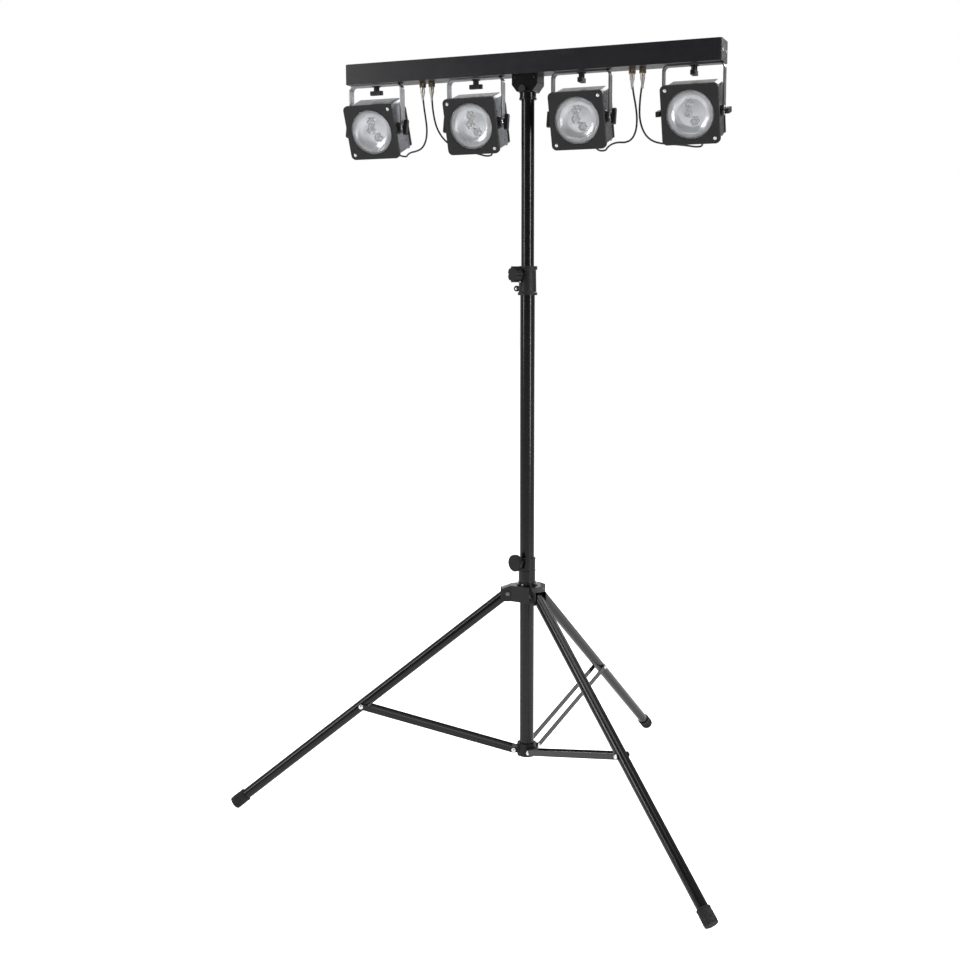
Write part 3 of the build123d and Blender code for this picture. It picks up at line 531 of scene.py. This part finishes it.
for i in range(4):
    n, place, body = i + 1, head_matrix(i), f"head_{i + 1}"

    # bright bowl behind the lens
    bm = bmesh.new()
    inner = [(56.5, 31.4), (54.8, 27.0), (50.0, 20.5), (43.5, 15.5), (36.0, 12.4), (33.0, 11.8)]
    outer = [(r + 1.2, z - 1.2) for r, z in reversed(inner)]
    spin(bm, inner + outer, 48)
    make(f"head_{n}_reflector", bm, mirror, body, place, smooth=False)

    # bright floor disc with three emitters, each six petals round a chip under a clear dome
    bm = bmesh.new()
    disc = [(0.01, 8.8), (36.0, 8.8), (36.0, 11.0), (35.0, 11.6), (0.01, 11.6)]
    spin(bm, disc, 64, closed=False, material=3)
    for u, v in EMITTERS:
        m = Matrix.Translation((u, v, EMITTER_Z))
        block(bm, (-2.6, -2.6, -6.3), (2.6, 2.6, -4.8), 0.3, matrix=m, material=1)
        petals = [(11.5, -6.3), (11.5, -4.4), (9.4, -1.6), (7.0, -5.2), (7.0, -6.3)]
        spin(bm, petals, 48, matrix=m, material=0,
             wobble=lambda a, row: 1 + (0.16 * math.cos(6 * a) if row < 3 else 0))
        dome = [(6.4, -6.2), (6.2, -2.6), (5.0, 0.4), (3.0, 2.2), (1.0, 2.9), (0.01, 3.0)]
        spin(bm, dome, 28, matrix=m, closed=False, material=2)
    make(f"head_{n}_emitter", bm, [ceramic, phosphor, dome_clear, mirror], body, place)

    # soft black gasket round the lens, standing just proud of it
    bm = bmesh.new()
    spin(bm, oval(62.1, 39.6, 1.3, 1.1, 12), 96)
    make(f"head_{n}_lens_gasket", bm, rubber, body, place)

    # two screws with washers in opposite corners of the front plate
    bm = bmesh.new()
    for u, v in SCREW_CORNERS[i]:
        u, v = u * SCREW_OFFSET, v * SCREW_OFFSET
        washer = [(4.4, 40.0), (4.2, 40.6), (2.8, 40.6), (2.8, 40.0)]
        spin(bm, washer, 32, matrix=Matrix.Translation((u, v, 0)))
        pan_screw(bm, (u, v, 40.3), 3.6, 2.0)
    make(f"head_{n}_bezel_screws", bm, zinc, body, place)

    # black edging down the sides of the back and along its underside, open under the gland,
    # and the rear cover's screws
    bm = bmesh.new()
    w, h, back, t = BOX_HALF_W, BOX_HALF_H, BOX_BACK, EDGING
    for s in (-1, 1):
        x0, x1 = sorted((s * (w - 0.2), s * (w + t)))
        block(bm, (x0, -h + 6, -back + 6), (x1, h - BOX_SLOPE - 2, -back + 14), 0.6)
        x0, x1 = sorted((s * 16, s * (w - 6)))
        block(bm, (x0, -h - t, -back + 6), (x1, -h + 0.2, -back + 14), 0.6)
        for v in (-44, 34):
            pan_screw(bm, (s * 54, v, -back), 2.9, 1.5, z=(0, 0, -1))
    make(f"head_{n}_rear_rim", bm, black_plastic, body, place)

    # black sleeve over each tilt boss, with a flange against the box
    bm = bmesh.new()
    for s in (-1, 1):
        m = local((s * w, 0, 0), (s, 0, 0), (0, 1, 0))
        sleeve = [(12.05, -0.2), (17.0, -0.2), (17.0, 1.6), (15.6, 2.6), (13.9, 3.2), (13.7, 9.6),
                  (13.2, 10.2), (12.05, 10.2)]
        spin(bm, sleeve, 48, matrix=m)
    make(f"head_{n}_boss_sleeves", bm, knob_plastic, body, place)

    # washers under the tilt knobs and under the knob on top of the yoke
    bm = bmesh.new()
    for s in (-1, 1):
        m = local((HEAD_X[i] + s * TILT_WASHER_X, 0, HEAD_Z), (s, 0, 0), (0, 0, 1))
        spin(bm, [(8.3, 0), (11.6, 0), (11.6, 0.9), (11.2, 1.3), (8.3, 1.3)], 40, matrix=m)
    make(f"head_{n}_tilt_washers", bm, zinc, f"tilt_knobs_{n}")
    bm = bmesh.new()
    m = local((HEAD_X[i], 0, TOP_WASHER_Z), (0, 0, -1), (1, 0, 0))
    spin(bm, [(8.3, 0), (12.4, 0), (12.4, 1.0), (12.0, 1.4), (8.3, 1.4)], 40, matrix=m)
    make(f"head_{n}_top_washer", bm, black_plastic, f"top_knob_{n}")

# ---------------------------------------------------------------- crossbar
BAR_REAR_Y, BAR_END_X, BAR_MID_Z = 36.0, 525.0, 2070.5

# Screw connectors: knurled brass coupling nut above, nickel barrel below.
KNURLS = 72


def knurl(angle, row):
    """Every second line of the nut's grip, its rows 5 and 6, stands out."""
    if row not in (5, 6):
        return 1
    return 1 + 0.018 * (1 if round(angle * KNURLS / (2 * math.pi)) % 2 else -1)


bm = bmesh.new()
for x in CONNECTOR_X:
    m = Matrix.Translation((x, CONNECTOR_Y, 0))
    nut = [(3.0, 2046), (9.6, 2046), (9.6, 2043.4), (8.2, 2042.6), (8.2, 2041.6), (8.9, 2041.0),
           (8.9, 2030.4), (8.2, 2029.6), (3.0, 2029.6)]
    spin(bm, nut, KNURLS, matrix=m, material=0, wobble=knurl)
    barrel = [(3.0, 2029.8), (6.6, 2029.8), (6.6, 2022.6), (6.0, 2022.2), (6.0, 2021.2),
              (6.5, 2020.8), (6.5, 2016.0), (5.2, 2013.6), (5.0, 2010.0), (3.0, 2010.0)]
    spin(bm, barrel, 36, matrix=m, material=1)
connectors = make("cable_connectors_turned", bm, [brass, nickel], "crossbar")
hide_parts("cable_connectors")

# Screws of the rear panel and the end caps, and the display's dark window.
bm = bmesh.new()
for x in (-505, -330, -200, -60, 105, 240, 370, 505):
    for z in (2051.5, 2089.5):
        pan_screw(bm, (x, BAR_REAR_Y, z), 3.0, 1.6, z=(0, 1, 0))
for s in (-1, 1):
    for y in (-22, 22):
        pan_screw(bm, (s * BAR_END_X, y, BAR_MID_Z), 3.2, 1.6, z=(s, 0, 0))
make("bar_panel_screws", bm, zinc, "crossbar")
bm = bmesh.new()
block(bm, (-46.5, 35.2, 2062.0), (-3.5, 36.6, 2079.0), 0.4)
make("bar_display_window", bm, window, "crossbar")

# Pole socket: weld bead and lower lip of the sleeve, and four screws in its front and back.
bm = bmesh.new()
bead = oval(22.0, 1998.0, 1.7, 1.5)
spin(bm, bead, 80, wobble=lambda a, row: 1 + 0.008 * math.sin(26 * a))
lip = [(21.8, 1979.0), (23.4, 1979.0), (23.4, 1983.6), (22.6, 1984.6), (21.8, 1984.6)]
spin(bm, lip, 64)
make("pole_socket_weld", bm, mast_black, "crossbar")
bm = bmesh.new()
for x in (-27, 27):
    for s in (-1, 1):
        pan_screw(bm, (x, s * 27.0, 2034), 3.2, 1.8, z=(0, s, 0))
make("pole_socket_screws", bm, mast_black, "crossbar")


# ---------------------------------------------------------------- stand
def outward(azimuth):
    a = math.radians(azimuth)
    return Vector((math.cos(a), math.sin(a), 0))


RIVET_OUT = 18.6             # a brace rivet's cap, from the leg's middle plane

leg_run = math.hypot(FOOT_R - PIVOT_R, PIVOT_Z - FOOT_Z)
leg_out, leg_down = (FOOT_R - PIVOT_R) / leg_run, (PIVOT_Z - FOOT_Z) / leg_run
for i, azimuth in enumerate(LEG_AZIMUTHS):
    n, away = i + 1, outward(azimuth)
    across = away.cross(UP)
    run = away * leg_out - UP * leg_down
    hip = away * PIVOT_R + UP * PIVOT_Z
    pin = hip + run * BRACE_REACH
    low = away * COLLAR_R + UP * COLLAR_Z

    # bright domed rivets at both ends of the brace
    bm = bmesh.new()
    for centre in (pin, low):
        for s in (-1, 1):
            m = local(centre + across * s * RIVET_OUT, across * s, (0, 0, 1))
            cap = [(6.5, 0.0), (6.5, 1.2), (5.8, 2.4), (4.4, 3.2), (2.2, 3.7), (0.01, 3.8)]
            spin(bm, cap, 32, matrix=m, closed=False)
    make(f"brace_{n}_rivet_caps", bm, zinc, f"brace_{n}")

    # ribs round the rubber foot, and a lip at its upper end
    foot = hip + run * leg_run
    bm = bmesh.new()
    m = local(foot, -run, away)
    for h in (9.0, 15.0, 21.0, 27.0):
        spin(bm, oval(17.9, h, 0.9, 1.5), 48, matrix=m)
    lip = [(15.2, 39.5), (18.6, 39.5), (18.8, 41.0), (18.4, 43.0), (16.4, 43.6), (15.2, 43.2)]
    spin(bm, lip, 48, matrix=m)
    make(f"foot_{n}_ribs", bm, rubber, f"leg_{n}")

# Beads round the hub's sleeve, rivets at its foot, and rivets on the mast clamp.
bm = bmesh.new()
for z in (733.0, 700.0, 668.0):
    spin(bm, oval(23.9, z, 0.7, 1.4), 72)
make("hub_sleeve_beads", bm, mast_black, "hub")
bm = bmesh.new()
for k in range(3):
    away = outward(LEG_AZIMUTHS[k] + 60)
    pan_screw(bm, tuple(away * 25.6 + UP * 662.0), 2.6, 1.4, z=(0, 0, 1))
make("hub_sleeve_rivets", bm, zinc, "hub")
bm = bmesh.new()
for s in (-1, 1):
    m = local((-31.0, s * 4.4, 1481.0), (0, s, 0), (0, 0, 1))
    spin(bm, [(3.4, 0), (3.4, 0.8), (2.6, 1.6), (1.2, 2.0), (0.01, 2.1)], 24, matrix=m, closed=False)
pan_screw(bm, tuple(outward(-132) * 22.8 + UP * 1500.0), 3.0, 1.6, z=tuple(outward(-132)))
make("mast_clamp_rivets", bm, zinc, "mast")

# ---------------------------------------------------------------- floor, world and lights
FLOOR_R, FLOOR_Z = 30.0, -0.0005
FLOOR_GLOW, FLOOR_SEEN = 0.30, 0.95

data = bpy.data.meshes.new("floor")
bm = bmesh.new()
bmesh.ops.create_circle(bm, cap_ends=True, segments=96, radius=FLOOR_R)
bm.to_mesh(data)
bm.free()
floor = bpy.data.objects.new("floor", data)
bpy.context.scene.collection.objects.link(floor)
floor.location.z = FLOOR_Z
pale = bpy.data.materials.new("pale_floor")
pale.use_nodes = True
shader = pale.node_tree.nodes["Principled BSDF"]
shader.inputs["Base Color"].default_value = (0.86, 0.86, 0.865, 1)
shader.inputs["Roughness"].default_value = 0.9
shader.inputs["Specular IOR Level"].default_value = 0.1
shader.inputs["Emission Color"].default_value = (1, 1, 1, 1)
# The floor's glow is strong in the rays that the camera sends out, and soft in all others, so that
# it looks as white as the backdrop without lighting the object from below.
seen = pale.node_tree.nodes.new("ShaderNodeLightPath").outputs["Is Camera Ray"]
glow = pale.node_tree.nodes.new("ShaderNodeMapRange")
glow.inputs["To Min"].default_value = FLOOR_GLOW
glow.inputs["To Max"].default_value = FLOOR_SEEN
pale.node_tree.links.new(seen, glow.inputs["Value"])
pale.node_tree.links.new(glow.outputs["Result"], shader.inputs["Emission Strength"])
data.materials.append(pale)

world = bpy.data.worlds.new("studio")
bpy.context.scene.world = world
world.use_nodes = True
tree = world.node_tree
background = tree.nodes["Background"]
coords = tree.nodes.new("ShaderNodeTexCoord")
split = tree.nodes.new("ShaderNodeSeparateXYZ")
tree.links.new(coords.outputs["Generated"], split.inputs["Vector"])


def world_ramp(axis, start, end, low, high):
    """A strength that goes smoothly from low to high with the direction along one axis."""
    ramp = tree.nodes.new("ShaderNodeMapRange")
    ramp.interpolation_type = "SMOOTHSTEP"
    for key, value in (("From Min", start), ("From Max", end), ("To Min", low), ("To Max", high)):
        ramp.inputs[key].default_value = value
    tree.links.new(split.outputs[axis], ramp.inputs["Value"])
    return ramp.outputs["Result"]


# The light from around is stronger from behind and from the left. The camera sees plain white.
around = tree.nodes.new("ShaderNodeMath")
around.operation = "MULTIPLY"
tree.links.new(world_ramp("Y", -0.45, 0.55, 0.05, 0.34), around.inputs[0])
tree.links.new(world_ramp("X", -0.12, 0.10, 2.6, 1.0), around.inputs[1])
path = tree.nodes.new("ShaderNodeLightPath")
either = tree.nodes.new("ShaderNodeMath")
either.operation = "MAXIMUM"
tree.links.new(path.outputs["Is Camera Ray"], either.inputs[0])
tree.links.new(around.outputs["Value"], either.inputs[1])
tree.links.new(either.outputs["Value"], background.inputs["Strength"])
background.inputs["Color"].default_value = (1, 1, 1, 1)


def softbox(name, place, target, size, power):
    """A rectangular area lamp at place, turned to target."""
    light = bpy.data.lights.new(name, "AREA")
    light.shape, light.size, light.size_y, light.energy = "RECTANGLE", size[0], size[1], power
    lamp = bpy.data.objects.new(name, light)
    bpy.context.scene.collection.objects.link(lamp)
    lamp.location = place
    lamp.rotation_euler = (Vector(target) - Vector(place)).to_track_quat("-Z", "Y").to_euler()
    lamp.visible_camera = False


softbox("key", (-2.6, -2.6, 2.4), (0, 0, 1.2), (0.7, 2.6), 62)
softbox("fill", (3.3, -1.2, 1.9), (0, 0, 1.1), (0.30, 2.8), 80)
softbox("top", (0, -0.4, 4.4), (0, 0, 0), (3.0, 3.0), 90)
softbox("back", (1.0, 2.8, 3.6), (0.2, -0.2, 0.9), (1.6, 2.0), 60)

bpy.context.scene.view_settings.view_transform = "Standard"
bpy.context.scene.view_settings.look = "None"
